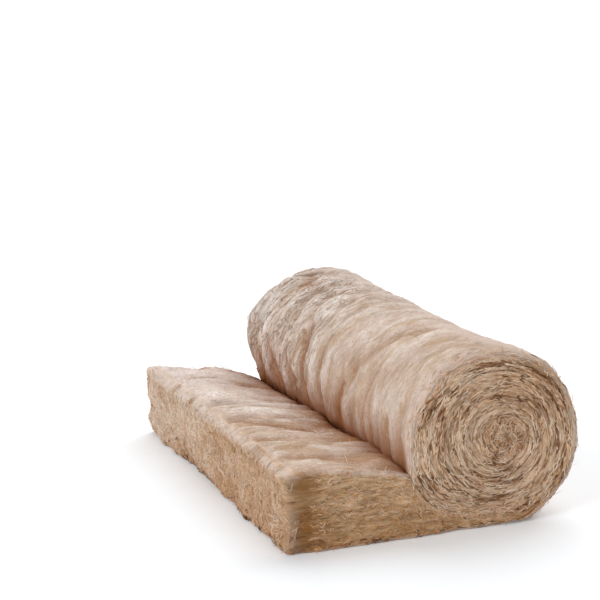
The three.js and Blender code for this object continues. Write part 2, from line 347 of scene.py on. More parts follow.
def row_place(row, rounding):
    """How far along Y a row of a skin lies, how far its rounded edge draws it in, and how far round
    that edge it is."""
    mirrored = row > ROWS / 2
    near = np.where(mirrored, ROWS - row, row)
    turn = np.clip(near / ROUND_ROWS, 0, 1) * math.pi / 2
    curved = HALF_WIDTH - rounding * (1 - np.cos(turn))
    wall = np.clip((near - ROUND_ROWS) / WALL_ROWS, 0, 1)
    straight = (HALF_WIDTH - rounding) * (1 - wall) + (HALF_WIDTH - GAP_DEPTH) * wall
    middle = (HALF_WIDTH - GAP_DEPTH) * (1 - 2 * (near - END_ROWS) / MIDDLE_ROWS)
    y = np.where(near <= ROUND_ROWS, curved, np.where(near <= END_ROWS, straight, middle))
    return np.where(mirrored, y, -y), rounding * (1 - np.sin(turn)), turn / (math.pi / 2)


FREE_STATIONS = 3  # over which the free end's rounding runs out
CUT_FROM, CUT_BY = 0.1, 0.8  # of the rounded edge, where felt gives way to the cut


def skin_points(side, station, row):
    """Points of a face of the mat, with their lie in the wool, their cut and their depth."""
    line, out, rounding = {
        "outer": (outer_line, outer_out, outer_round),
        "inner": (inner_line, inner_out, inner_round),
    }[side]
    y, inset, turned = row_place(row, at(rounding, station))
    section = at(line, station) - inset[:, None] * at(out, station)
    drawn_in = FREE_ROUNDING_SIDE * (1 - np.sin(turned * math.pi / 2))
    section[:, 0] += drawn_in * np.clip(1 - station / FREE_STATIONS, 0, 1)
    across = inset if side == "outer" else at(thickness, station) - inset
    lie = np.stack([at(station_along, station), across, y], axis=1)
    wound_in = station > (wound_first if side == "outer" else fold_station)
    cut = np.where(wound_in, 1.0, 1 - ramp(turned, CUT_FROM, CUT_BY))
    cut = np.maximum(cut, 1 - station / 1.5)
    near = np.minimum(row, ROWS - row)
    # Depth: how far down the open seam's walls, or into the crevice, a point lies. It keeps the relief off
    # those walls and paints them dark brown, painted shade.
    depth = ramp(near, ROUND_ROWS - 1, END_ROWS) * wound_in
    into = station - (LEAF_STATIONS + TURN_STATIONS if side == "outer" else LEAF_STATIONS)
    depth = np.maximum(depth, 0.85 * ramp(into, -3, 2) * (1 - wound_in) * ramp(near, 0, ROUND_ROWS))
    return np.stack([section[:, 0], y, section[:, 1]], axis=1), lie, cut, depth


def blend(first, second, share):
    """Part of the way from one set of points to another."""
    return [a + (b - a) * (share if a.ndim == 1 else share[:, None]) for a, b in zip(first, second)]


def free_bulge(share):
    """How far the free end stands out beyond the straight line between its two rounded edges."""
    from_top = np.clip(1 - (1 - share) * MAT_THICKNESS / FREE_ROUNDING_TOP, 0, 1)
    from_foot = np.clip(1 - share * MAT_THICKNESS / FREE_ROUNDING_FOOT, 0, 1)
    inset = FREE_ROUNDING_TOP * (1 - np.sqrt(1 - from_top**2))
    inset = inset + FREE_ROUNDING_FOOT * (1 - np.sqrt(1 - from_foot**2))
    return FREE_ROUNDING_FOOT + (FREE_ROUNDING_TOP - FREE_ROUNDING_FOOT) * share - inset


def cut_points(station, share, row):
    """Points between the two faces of the mat, on its cut ends and on its free end."""
    faces = skin_points("outer", station, row), skin_points("inner", station, row)
    points, lie, _, _ = blend(*faces, share)
    points[:, 0] -= free_bulge(share) * np.clip(1 - station / FREE_STATIONS, 0, 1)
    return points, lie, np.ones(len(station)), np.zeros(len(station))


def give(piece, values_by_name):
    """Gives each point of a mesh the values of attributes, by name."""
    for name, values in values_by_name.items():
        is_place = values.ndim == 2
        data = piece.data.attributes.new(name, "FLOAT_VECTOR" if is_place else "FLOAT", "POINT").data
        data.foreach_set("vector" if is_place else "value", values.astype(np.float32).ravel())


def sheet(name, columns, rows, place):
    """A sheet of the mat's surface: a flat grid whose points place() moves to where they belong."""
    bpy.ops.object.select_all(action="DESELECT")
    bpy.ops.mesh.primitive_grid_add(x_subdivisions=columns, y_subdivisions=rows, size=1)
    made = bpy.context.object
    made.name = name
    flat = np.empty(3 * len(made.data.vertices), np.float32)
    made.data.vertices.foreach_get("co", flat)
    flat = flat.reshape(-1, 3)
    column = np.rint((flat[:, 0] + 0.5) * columns).astype(int)
    row = np.rint((flat[:, 1] + 0.5) * rows).astype(int)
    points, lie, cut, depth = place(column, row)
    made.data.vertices.foreach_set("co", (points + AXIS).astype(np.float32).ravel())
    give(made, {"lie": lie, "cut": cut, "depth": depth})
    return made


sheets = [
    sheet("outer skin", wound_first, ROWS, lambda column, row: skin_points("outer", column, row)),
    sheet("inner skin", fold_station, ROWS, lambda column, row: skin_points("inner", column, row)),
    sheet("free end", LEAF_ROWS, ROWS,
          lambda column, row: cut_points(0 * column, column / LEAF_ROWS, row)),
    sheet("crevice bottom", 1, MIDDLE_ROWS,
          lambda column, row: blend(skin_points("inner", 0 * column + fold_station, row + END_ROWS),
                                    skin_points("outer", 0 * column + wound_first, row + END_ROWS),
                                    column.astype(float))),
]
wound_count = last_station - wound_first
for end_row, step in ((0, 1), (ROWS, -1)):
    floor_row = end_row + step * END_ROWS
    sheets += [
        sheet("cut side of the leaf", FACE_CHANGE, LEAF_ROWS,
              lambda column, row: cut_points(column, row / LEAF_ROWS, 0 * row + end_row)),
        sheet("cut end of the roll", last_station - FACE_CHANGE - 1, FACE_ROWS,
              lambda column, row: cut_points(column + FACE_CHANGE + 1, row / FACE_ROWS, 0 * row + end_row)),
        sheet("gap wall", wound_count, END_ROWS,
              lambda column, row: skin_points("inner", column + fold_station, end_row + step * row)),
        sheet("gap wall", wound_count, END_ROWS,
              lambda column, row: skin_points("outer", column + wound_first, end_row + step * row)),
        sheet("gap floor", wound_count, 1,
              lambda column, row: blend(skin_points("inner", column + fold_station, 0 * row + floor_row),
                                        skin_points("outer", column + wound_first, 0 * row + floor_row),
                                        row.astype(float))),
    ]


def select_edges(faulty):
    """Selects the edges of holes and, where faulty is set, those of no face or of more than two."""
    bpy.ops.mesh.select_all(action="DESELECT")
    bpy.ops.mesh.select_non_manifold(extend=False, use_wire=faulty, use_boundary=True,
                                     use_multi_face=faulty, use_non_contiguous=False, use_verts=False)


# The sheets become one closed skin. The leaf's side has more rows than the roll's end, so the strip
# between the two is filled on its own, one side of the mat after the other.
bpy.ops.object.select_all(action="DESELECT")
for made in sheets:
    made.select_set(True)
mat = sheets[0]
bpy.context.view_layer.objects.active = mat
bpy.ops.object.join()
mat.name = "wool_mat"
bpy.ops.object.mode_set(mode="EDIT")
bpy.ops.mesh.select_all(action="SELECT")
bpy.ops.mesh.remove_doubles(threshold=MERGED)
for side in (-1, 1):
    bpy.ops.mesh.select_mode(type="EDGE")
    select_edges(faulty=False)
    bpy.ops.object.mode_set(mode="OBJECT")
    for edge in mat.data.edges:
        if edge.select and mat.data.vertices[edge.vertices[0]].co.y * side < 0:
            edge.select = False
    bpy.ops.object.mode_set(mode="EDIT")
    bpy.ops.mesh.fill(use_beauty=True)
bpy.ops.mesh.select_mode(type="VERT")
bpy.ops.mesh.select_all(action="SELECT")
bpy.ops.mesh.dissolve_degenerate(threshold=SLIVER)
bpy.ops.mesh.select_mode(type="EDGE")
for attempt in range(3):
    select_edges(faulty=True)
    bpy.ops.mesh.edge_collapse()
bpy.ops.mesh.select_mode(type="VERT")
bpy.ops.mesh.select_all(action="SELECT")
bpy.ops.mesh.normals_make_consistent(inside=False)
bpy.ops.object.mode_set(mode="OBJECT")
bpy.ops.object.shade_smooth()

# The main furrows of the slack skins: along and across where each starts, the same where it ends,
# its depth, and its spread to each side. Along counts over the skin from the crevice, up round the
# roll and, less than zero, out over the leaf.
FURROWS = (
    (0.010, -0.440, 0.100, -0.440, 0.004, 0.016),
    (0.015, -0.280, 0.180, -0.300, 0.005, 0.018),
    (0.000, -0.100, 0.120, -0.140, 0.007, 0.022),
    (0.020, -0.010, 0.165, 0.015, 0.005, 0.018),
    (0.020, 0.105, 0.190, 0.160, 0.009, 0.028),
    (0.030, 0.170, 0.120, 0.250, 0.007, 0.018),
    (0.040, 0.290, 0.130, 0.400, 0.007, 0.022),
    (0.050, 0.430, 0.130, 0.490, 0.006, 0.022),
    (0.155, -0.175, 0.360, -0.285, 0.004, 0.030),
    (0.300, 0.400, 0.345, 0.480, 0.008, 0.028),
    (0.400, 0.060, 0.600, 0.120, 0.008, 0.028),
    (-0.040, 0.310, -0.190, 0.430, 0.007, 0.036),
    (-0.070, 0.040, -0.220, 0.110, 0.005, 0.026),
    (-0.090, -0.165, -0.240, -0.080, 0.007, 0.026),
    (-0.110, -0.335, -0.235, -0.260, 0.006, 0.024),
    (-0.100, -0.470, -0.220, -0.430, 0.006, 0.024),
    (0.010, 0.570, -0.030, 0.570, 0.016, 0.050),
    (-0.150, 0.570, -0.205, 0.570, 0.016, 0.050),
)
CREVICE_OPENS = 0.005  # towards the rear end
CREVICE_CLOSES = 0.004  # towards the front end
CREVICE_REACH = 0.040
CREVICE_TURNS = 0.11  # down which the skin gives less and less
CREVICE_X = -0.180
MOUTH_OPENS, MOUTH_REACH = 0.0012, 0.015
MOUTH_SIDE = 0.014  # on the sawn ends, beside the seam
LEAF_ENDS = 0.55  # along the mat, which has passed under the roll there
SKIN_ENDS = (1.75, 1.8)  # along the mat, where it turns in below the outer turn

# How far the roll's skin stands from its axis, from the front end to the back one.
RADIUS_ALONG_ROLL = (
    (-0.570, 0.195), (-0.510, 0.192), (-0.450, 0.1885), (-0.390, 0.1855), (-0.330, 0.1845),
    (-0.210, 0.1855), (-0.090, 0.1865), (-0.030, 0.1875), (0.030, 0.189), (0.090, 0.191),
    (0.150, 0.193), (0.390, 0.193), (0.450, 0.194), (0.570, 0.195),
)

# Where the roll stands out further near its ends: how far, at which angle of the section, at which
# cosines of the angle off that it starts and is full, at which end, and where along Y likewise.
BULGES = (
    (0.007, -0.3, 0.1, 0.8, -1, 0.36, 0.52),
    (0.007, math.radians(152), 0.90, 1.0, 1, 0.42, 0.54),
    (0.006, -0.75, 0.6, 1.0, -1, 0.36, 0.52),
)

# Relief, as fields of lumps: how high each is, its lumps' sizes along the mat, through it and over
# its width, and its seed. The sawn ends show layers, and the free end, which was torn, has tufts.
END_RELIEF = (
    (0.0052, 0.16, 0.030, EVEN, 21), (0.0062, 0.050, 0.011, EVEN, 22), (0.0032, 0.024, 0.0065, EVEN, 23))
FREE_RELIEF = (
    (0.0075, EVEN, 0.075, 0.085, 34), (0.0085, EVEN, 0.032, 0.036, 32), (0.0026, EVEN, 0.013, 0.013, 33))
TUFTS = FREE_RELIEF[1][1:]
SKIN_FOLDS = ((0.0032, 0.055, EVEN, 0.032, 4), (0.0022, 0.024, EVEN, 0.016, 5))
CREASE_HEIGHT = 0.0090
WIDE_CREASES, FINE_CREASES = (0.070, EVEN, 0.027, 9), (0.032, EVEN, 0.016, 10)
PUCKERS = (0.30, EVEN, 0.034, 6)  # beside the crevice
PUCKER_RISE, PUCKER_DEPTH = 0.0015, 0.0045
# Near the crevice the skin is puckered, and painted browner and darker: binder, and painted shade.
CREVICE_SHADE = 0.055  # how far from the crevice it is puckered and brown
LEAF_WAVES = ((0.0048, 0.17, EVEN, 0.030, 7), (0.0034, 0.07, EVEN, 0.015, 13))
SLACK_SKIN = ((0.0030, 0.24, EVEN, 0.17, 1), (0.0020, 0.10, EVEN, 0.09, 2))
STREAKS_WANDER = ((0.026, 0.13, EVEN, 0.10, 3), (0.010, 0.045, EVEN, 0.04, 8))
BROW_WAVES = ((0.007, 9, 27), (0.003, 31, 28))  # of the free end: how far out, waves a metre, seed
BROW_RISE, BROW_DROP, REAR_LIFT = 0.007, 0.002, 0.010
SAWN_WAVE = 0.004  # of the sawn ends as a whole
EDGE_BAND = 0.03  # beside the sawn ends, where their relief takes over from that of the skins


def read(name, width=3):
    """The places (co) or normals (normal) of the mat's points, or an attribute's values."""
    values = np.empty(width * len(mat.data.vertices), np.float32)
    if name in ("co", "normal"):
        mat.data.vertices.foreach_get(name, values)
    else:
        mat.data.attributes[name].data.foreach_get("vector" if width == 3 else "value", values)
    return values.reshape(-1, width).astype(float) if width > 1 else values.astype(float)


def relief(lie, fields, base=0):
    """How far the wool stands out in all by some fields of lumps."""
    return sum((height * lumps(lie, *sizes, seed) for height, *sizes, seed in fields), base)


def beside_mouth(lie):
    """1 on both sides of the seam just past the crevice's mouth, where the cut wool stands level."""

    def stands_level(from_seam, past):
        near = np.exp(-((from_seam / MOUTH_SIDE) ** 2))
        return near * ramp(past, -0.03, 0.01) * (1 - ramp(past, 0.30, 0.45))

    past = lie[:, 0] - station_along[LEAF_STATIONS]
    turn_length = station_along[LEAF_STATIONS + TURN_STATIONS] - station_along[LEAF_STATIONS]
    below_seam = np.interp(lie[:, 0], station_along, thickness) - lie[:, 1]
    return np.maximum(stands_level(below_seam, past), stands_level(lie[:, 1], past - turn_length))


def flow(lie):
    """The lie of the skins' streaks, which wander a little to the sides."""
    sideways = relief(lie, STREAKS_WANDER)
    return lie + np.stack([0 * sideways, 0 * sideways, sideways], axis=1)


def crevice_nearness(points, lie, reach):
    """1 in the crevice between leaf and roll, falling off over reach metres on either side."""
    from_axis = points - AXIS
    angle = np.arctan2(from_axis[:, 2], from_axis[:, 0]) % (2 * math.pi)
    up_roll = np.clip(CREVICE_ANGLE - angle, 0, 3) * SEAM_RADIUS
    up_roll = np.where((angle > CREVICE_ANGLE) & (lie[:, 0] < 0.9), 1.0, up_roll)
    along_leaf = np.where(lie[:, 1] < 0.02, 1.0, np.clip(CREVICE_X - from_axis[:, 0], 0, 1))
    away = np.where(lie[:, 0] > LEAF_ENDS, up_roll, along_leaf)
    return np.exp(-away / reach) * (1 - ramp(lie[:, 0], *SKIN_ENDS))


def along_skin(points, lie):
    """How far over the skin a point lies from the crevice, up round the roll or, less than 0, out over
    the leaf; and how much the skin still gives there, which is less and less down the crevice."""
    from_axis = points - AXIS
    turn = (CREVICE_ANGLE - np.arctan2(from_axis[:, 2], from_axis[:, 0])) / (2 * math.pi)
    turn = (turn + 0.3) % 1 - 0.3
    up_roll = 2 * math.pi * FULL_RADIUS * np.clip(turn, 0, 1)
    over_leaf = np.minimum(0, from_axis[:, 0] - SEAM_RADIUS * math.cos(CREVICE_ANGLE))
    on_leaf = lie[:, 0] < LEAF_ENDS
    gives = np.where(on_leaf, 1 - ramp(lie[:, 0] - station_along[LEAF_STATIONS], 0, 0.14),
                     ramp(turn, -CREVICE_TURNS, 0))
    return np.where(on_leaf, over_leaf, up_roll), gives


def furrowed(points, lie, narrower=1.0):
    """How far the skins sink in their main furrows."""
    along, gives = along_skin(points, lie)
    across = points[:, 1] + 0.3 * (flow(lie) - lie)[:, 2]
    sink = 0
    for along_a, across_a, along_b, across_b, furrow_depth, spread in FURROWS:
        run = np.array((along_b - along_a, across_b - across_a))
        here = np.stack([along - along_a, across - across_a], axis=1)
        share = np.clip(here @ run / (run @ run), 0, 1)
        aside = np.linalg.norm(here - share[:, None] * run, axis=1) / (spread * narrower)
        sink = sink + furrow_depth * np.exp(-(aside**2))
    return sink * gives


def settled(points, lie):
    """The mat once it has sunk in its main furrows, and stands open or shut beside the crevice."""
    along, gives = along_skin(points, lie)
    rear = ramp(points[:, 1], 0.10, 0.35)
    opens = CREVICE_OPENS * rear - CREVICE_CLOSES * ramp(-points[:, 1], 0.20, 0.50)
    sink = opens * np.exp(-((along / CREVICE_REACH) ** 2))
    sink = sink + MOUTH_OPENS * (0.3 + 0.7 * rear) * np.exp(-((along / MOUTH_REACH) ** 2))
    sink = furrowed(points, lie) + sink * gives
    from_axis = points - AXIS
    radius = np.hypot(from_axis[:, 0], from_axis[:, 2])
    kept = 1 - sink * ramp(radius, 0.10, 0.185) / np.maximum(radius, 0.10)
    on_leaf = lie[:, 0] < LEAF_ENDS
    made = points.copy()
    made[:, 0] = np.where(on_leaf, points[:, 0], AXIS_X + from_axis[:, 0] * kept)
    low = points[:, 2] * (1 - sink / MAT_THICKNESS)
    made[:, 2] = np.where(on_leaf, low, AXIS_Z + from_axis[:, 2] * kept)
    return made


def skin_folds(points, lie):
    """How far the slack skins stand out in soft waves on the leaf and in folds along the roll, which
    are creased in its far half and puckered beside the crevice."""
    on_roll = ramp(lie[:, 0], 0.50, LEAF_ENDS)
    bent = flow(lie)
    far = ramp(points[:, 1], -0.1, 0.35) * on_roll
    wide = np.minimum(np.abs(lumps(bent, *WIDE_CREASES)) / 0.30, 1)
    fine = np.minimum(np.abs(lumps(bent, *FINE_CREASES)) / 0.28, 1)
    creased = wide - 0.75 + 0.4 * fine - 0.3
    folds = relief(bent, SKIN_FOLDS) + CREASE_HEIGHT * creased * far
    folds = folds + relief(bent, LEAF_WAVES) * (1 - on_roll)
    puckers = PUCKER_RISE - PUCKER_DEPTH * np.abs(lumps(bent, *PUCKERS)) ** 0.7
    folds = folds + puckers * crevice_nearness(points, lie, CREVICE_SHADE) * (0.3 + 0.7 * on_roll)
    return folds - 0.06 * furrowed(points, lie, 0.45) * on_roll


def relieved(points, normals, lie, cut, depth):
    """Where points of the plain mat lie once the wool is slack, ridged, puckered and cut."""
    y, end, none = points[:, 1], np.sign(points[:, 1]), 0 * cut
    from_axis = points - AXIS
    radius = np.hypot(from_axis[:, 0], from_axis[:, 2])
    real_radius = np.interp(y, *np.array(RADIUS_ALONG_ROLL).T)
    held = np.clip(1 - (radius - SEAM_RADIUS) / 0.10, 0, 1) * np.clip(radius / SEAM_RADIUS, 0, 1) ** 2
    held = held * ramp(points[:, 2], 0.0, 0.10)
    swell = (1 + (real_radius / SEAM_RADIUS - 1) * held)[:, None]
    slack = from_axis * np.concatenate([swell, 1 + 0 * swell, swell], axis=1) + AXIS
    slack = settled(points, lie) + slack - points

    skin_relief = relief(lie, SLACK_SKIN, skin_folds(points, lie)) * (1 - cut)
    angle = np.arctan2(from_axis[:, 2], from_axis[:, 0])
    fuller = sum(
        stands * ramp(np.cos(angle - middle), starts, full) * ramp(side * y, near, far)
        for stands, middle, starts, full, side, near, far in BULGES)
    fuller = fuller * ramp(radius, 0.10, 0.18) * ramp(points[:, 2], 0.0, 0.02)
    slack = slack + fuller[:, None] * np.stack([np.cos(angle), 0 * angle, np.sin(angle)], axis=1)

    on_free_end = ramp(-normals[:, 0], 0.3, 0.8) * (lie[:, 0] < 0.03)
    at_end = ramp(np.abs(y), HALF_WIDTH - EDGE_BAND, HALF_WIDTH) * (1 - on_free_end)
    apart = lie * (1, 1, 0) + np.stack([none, none, end * 30], axis=1)
    stands_out = skin_relief + relief(lie, FREE_RELIEF) * on_free_end * cut
    moved = slack + normals * stands_out[:, None]
    moved[:, 1] += end * relief(apart, END_RELIEF) * at_end * (1 - depth) * (1 - beside_mouth(lie))
    moved[:, 1] += end * SAWN_WAVE * line_noise(lie[:, 0] * 1.3 + end, 24) * at_end
    out_there = sum(stands * line_noise(y * waves, seed) for stands, waves, seed in BROW_WAVES)
    moved[:, 0] += np.exp(-lie[:, 0] / 0.05) * out_there
    brow = np.exp(-lie[:, 0] / 0.035) * (points[:, 2] > 0.5 * MAT_THICKNESS)
    moved[:, 2] += brow * (BROW_RISE * line_noise(y * 11, 26) - BROW_DROP)
    rear_lift = REAR_LIFT * np.exp(-lie[:, 0] / 0.07) * ramp(y, 0.40, 0.56)
    moved[:, 2] += rear_lift * points[:, 2] / MAT_THICKNESS
    moved[:, 2] = np.maximum(moved[:, 2], 0)
    return moved


def patch(x, z, centre_x, centre_z, half_width, half_height):
    """1 in the middle of a soft patch, in the section or on a cut end."""
    return np.exp(-(((x - centre_x) / half_width) ** 2) - ((z - centre_z) / half_height) ** 2)


points, lie, cut, depth = read("co"), read("lie"), read("cut", 1), read("depth", 1)
along, through, over = lie.T
# Near the crevice, in the creases there and in the main furrows, the skin is painted browner and darker:
# binder, and painted shade.
nearness = crevice_nearness(points, lie, CREVICE_SHADE) * (1 - cut)
creases = np.clip(2.2 * np.abs(lumps(flow(lie), 0.20, EVEN, 0.030, 6)) - 0.50, 0, 1)
creases = creases * crevice_nearness(points, lie, 0.08)
creases = creases + furrowed(points, lie, 0.6) / 0.010 * crevice_nearness(points, lie, 0.38)
creases = np.clip(creases, 0, 1) * (1 - cut)
points = relieved(points, read("normal"), lie, cut, depth)
mat.data.vertices.foreach_set("co", points.astype(np.float32).ravel())

# Binder that gathered in amber stains on the front end beside the free end's edges and up its right
# rim. Below the free end's brow the wool is browner and is also painted darker, painted shade under the
# brow's overhang, and in the hollows between the free end's tufts it is painted shade.
x, y, z = points.T
stains_and_shade = np.maximum(0.8 * patch(x - mat_low.x, z, 0.040, 0.140, 0.045, 0.042),
                   0.85 * patch(x - mat_low.x, z, 0.035, 0.060, 0.045, 0.10))
stains_and_shade = np.maximum(stains_and_shade, 0.40 * patch(x - AXIS_X, z - AXIS_Z, 0.11, 0.11, 0.08, 0.07))
stains_and_shade = stains_and_shade * ramp(-y, HALF_WIDTH - 0.02, HALF_WIDTH - 0.005)
from_brow = np.where(along < 1e-4, through - MAT_THICKNESS, along) * (through > 0.5 * MAT_THICKNESS)
brow_centre = 0.006 * line_noise(over * 11, 26) + 0.004 * line_noise(over * 31, 28) - 0.004
below_brow_brown_and_shade = np.exp(-(((from_brow - brow_centre + 0.024) / 0.012) ** 2)) * (along < 1e-4)
below_brow_brown_and_shade = below_brow_brown_and_shade * np.clip(0.6 + 0.8 * line_noise(over * 17, 30), 0, 1)
shaded_hollows = ramp(-lumps(lie, *TUFTS), 0.15, 0.60) * (along < 1e-4)
stains_and_shade = np.maximum(np.maximum(stains_and_shade, 0.35 * below_brow_brown_and_shade), 0.40 * shaded_hollows)

# Where the far half is crinkled; how far the skin stands out, by which its ridges are painted paler
# and its hollows darker, painted light and shade; and where the wool is paler: along the edges and
# at the corners, partly frayed fluff and partly painted highlight, on the free end's brow, where the
# pale skin wraps over, and on the roll's crest, a painted highlight where the light falls.
skin_angle = np.arctan2(z - AXIS_Z, x - AXIS_X)
crinkled = ramp(y, -0.15, 0.30) * ramp(along, 0.50, LEAF_ENDS)
crinkled = crinkled * (0.25 + 0.75 * ramp(np.cos(skin_angle - math.radians(135)), -0.1, 0.3))
swell = np.clip(0.5 + (skin_folds(points, lie) - 0.6 * furrowed(points, lie)) / 0.014, 0, 1)
corner = np.exp(-((HALF_WIDTH - np.abs(y)) ** 2) / 0.014**2 - (along / 0.014) ** 2)
pale_and_highlight = np.maximum(0.65 * np.sqrt(4 * cut * (1 - cut)), 0.6 * corner)
pale_and_highlight = np.where((along < 0.03) & (through > 0.1), 0.3 * pale_and_highlight, pale_and_highlight)
band_width = 0.006 + 0.005 * ramp(over, -0.4, 0.3)
band = np.exp(-(((from_brow - brow_centre) / band_width) ** 2)) * (along < 0.06) * (through > 0.1)
pale_and_highlight = np.maximum(pale_and_highlight, 0.9 * band)
lit_crest = ramp(np.cos(skin_angle - math.radians(50)), 0.70, 0.97) * ramp(along, 0.50, LEAF_ENDS) * (1 - cut)
pale_and_highlight = np.maximum(pale_and_highlight, lit_crest * (0.70 + 0.30 * lumps(lie, 0.10, EVEN, 0.06, 31)))
give(mat, {"amber_and_shade": stains_and_shade, "nearness": nearness, "creases": creases, "crinkled": crinkled,
           "swell": swell, "pale_and_highlight": pale_and_highlight, "flow": flow(lie)})
mat.data.update()

# Glass wool with a brown plant-based binder, felted on its faces by the oven's conveyor and sawn
# on its sides: dull everywhere, pinkish and streaked on the felt, browner and layered on the cuts.
# Patterns lie on the mat itself. Their sizes are in mm along it, through it and over its width, and
# they show bundles, drawn coarser than the fibres, which are too fine to show.
PATTERNS = (  # name, what it follows, size in mm, detail, roughness and distortion
    ("streaks", "flow", (28, 50, 16), 3.0, 0.55, 1.5),
    ("patches", "flow", (100, 100, 55), 3.0, 0.6, 0.0),
    ("felt", "flow", (11, 8.5, 5.5), 3.0, 0.65, 1.5),
    ("wrinkles", "flow", (46, 50, 16), 2.5, 0.6, 1.0),
    ("layers", "lie", (28, 6, 12), 5.0, 0.75, 0.7),
    ("splits", "lie", (100, 13, 20), 2.0, 0.5, 0.4),
    ("broad layers", "lie", (50, 17, 50), 4.0, 0.75, 1.2),
    ("pits", "lie", (20, 11, 16), 1.0, 0.5, 0.0),
    ("arcs", "lie", (75, 8, 80), 2.0, 0.55, 0.5),
)

# What the colours go by. A RANGE turns levels between the first two numbers into shares between the
# last two, and the others are sums of levels or numbers. X, Y and Z are places in metres.
LEVELS = (
    ("warm patch", "RANGE", "patches", 0.50, 0.66, 0, 0.75),
    ("front", "RANGE", "Y", 0.1, -0.57, 0, 0.35),
    ("rear", "RANGE", "Y", -0.1, 0.55, 0, 0.36),
    ("outwards", "RANGE", "X", -0.02, -0.30, 1, 4),
    ("back", "MULTIPLY", "rear", "outwards"),
    ("low felt", "RANGE", "felt", 0.52, 0.36, 0, 0.55),
    ("wrinkle side", "SUBTRACT", "wrinkles", 0.5),
    ("off wrinkle", "ABSOLUTE", "wrinkle side"),
    ("wrinkle line", "RANGE", "off wrinkle", 0.045, 0, 0, 1),
    ("wrinkle reach", "RANGE", "crinkled", 0, 1, 0.10, 0.7),
    ("wrinkle", "MULTIPLY", "wrinkle line", "wrinkle reach"),
    ("crevice", "RANGE", "nearness", 0.1, 0.9, 0, 0.97),
    ("split side", "SUBTRACT", "splits", 0.5),
    ("off split", "ABSOLUTE", "split side"),
    ("split", "RANGE", "off split", 0.042, 0.004, 0, 0.62),
    ("free end", "RANGE", "along", 0.012, 0, 0, 0.50),
    ("far", "RANGE", "Y", -0.1, 0.5, 0, 1),
    ("leaf", "RANGE", "along", 0.55, 0.35, 0, 0.5),
    ("off middle", "ABSOLUTE", "Y"),
    ("sawn side", "RANGE", "off middle", 0.535, 0.555, 0, 1),
    ("leaf side", "MULTIPLY", "leaf", "sawn side"),
    ("broad level", "RANGE", "broad layers", 0.46, 0.60, 0, 1.2),
    ("broad layer", "MULTIPLY", "broad level", "leaf side"),
    ("foot", "RANGE", "Z", 0.09, 0, 0, 0.45),
    # More pits near the floor: painted shade along the foot.
    ("more pits", "RANGE", "Z", 0.022, 0.004, 0, 0.24),
    ("pit level", "ADD", "pits", "more pits"),
    ("pit shown", "MULTIPLY_ADD", "leaf side", -0.10, "pit level"),
    ("pit", "RANGE", "pit shown", 0.66, 0.74, 0, 0.85),
    ("arc line", "RANGE", "arcs", 0.54, 0.66, 0, 1),
    ("arc reach", "RANGE", "along", 0.35, 0.55, 0.10, 0.85),
    ("arc", "MULTIPLY", "arc line", "arc reach"),
    ("streak height", "MULTIPLY", "streaks", 0.6),
    ("felt height", "MULTIPLY_ADD", "felt", 0.5, "streak height"),
    ("skin height", "MULTIPLY_ADD", "wrinkle", -0.45, "felt height"),
    ("cut height", "MULTIPLY_ADD", "split", -0.4, "layers"),
)
SKIN_COLOURS = ((0.28, "#b99d88"), (0.47, "#e2cdc0"), (0.66, "#fdf3eb"))
# Painted light and shade on the skins: by this share, ridges that stand out are paler and hollows darker.
RELIEF_LIGHT_SHARE = 0.55  # of how pale a skin is, the rest goes by its streaks
# Tints over the skins: warm patches, a warmer front, a paler back, darker felt, dark wrinkle lines that are
# painted shade in the crinkles, and browner and darker near the crevice and in the creases, binder and
# painted shade.
SKIN_TINTS = (
    ("warm patch", "#cbaa86"), ("front", "#cba98a"), ("back", "#faeee9"), ("low felt", "#b69375"),
    ("wrinkle", "#94704c"), ("crevice", "#9a5420"), ("creases", "#a4652f"),
)
CUT_COLOURS = ((0.32, "#8b603c"), (0.48, "#ebc19b"), (0.70, "#ffedd6"))
FREE_END_COLOURS = {6: srgb("#deb791"), 7: srgb("#fbeadd")}  # near and far
# Tints over the cuts: the leaf's sawn side paler and more golden, broad darker layers, browner towards the
# floor, dark pits that are painted shade, more of them along the floor, and dark arcs that are painted
# shade where the layers part.
CUT_TINTS = (
    ("leaf side", "#ffdaa6"), ("broad layer", "#96602e"), ("foot", "#bd8347"), ("pit", "#5b3d23"),
    ("arc", "#7b4d29"),
)
# Laid over both: paler along the edges and corners, on the brow and on the roll's crest, partly frayed
# fluff and pale skin and partly painted highlight; amber in the stains, with painted shade under the brow
# and in the tufts' hollows; and dark brown painted shade down the walls of the open seam and inside the
# crevice.
TINTS = (("pale_and_highlight", "#f5e2d7"), ("amber_and_shade", "#9c662a"), ("depth", "#87431a"))
BUMP_HEIGHT = 0.006

wool, tree = new_material("glass wool with brown binder")
level = {name: add_node(tree, "ShaderNodeAttribute", {"attribute_name": name}).outputs["Fac"]
         for name in ("cut", "depth", "amber_and_shade", "nearness", "creases", "swell", "crinkled", "pale_and_highlight")}
follows = {name: add_node(tree, "ShaderNodeAttribute", {"attribute_name": name}).outputs["Vector"]
           for name in ("lie", "flow")}
object_place = add_node(tree, "ShaderNodeTexCoord").outputs["Object"]
level.update(add_node(tree, "ShaderNodeSeparateXYZ", links={"Vector": object_place}).outputs.items())
lie_parts = add_node(tree, "ShaderNodeSeparateXYZ", links={"Vector": follows["lie"]})
level["along"] = lie_parts.outputs["X"]
for name, followed, size, detail, roughness, distortion in PATTERNS:
    sized = add_node(tree, "ShaderNodeMapping", values={"Scale": [1000 / mm for mm in size]},
                     links={"Vector": follows[followed]})
    noise = {"Scale": 1, "Detail": detail, "Roughness": roughness, "Distortion": distortion}
    pattern = add_node(tree, "ShaderNodeTexNoise", values=noise, links={"Vector": sized.outputs["Vector"]})
    level[name] = pattern.outputs["Fac"]
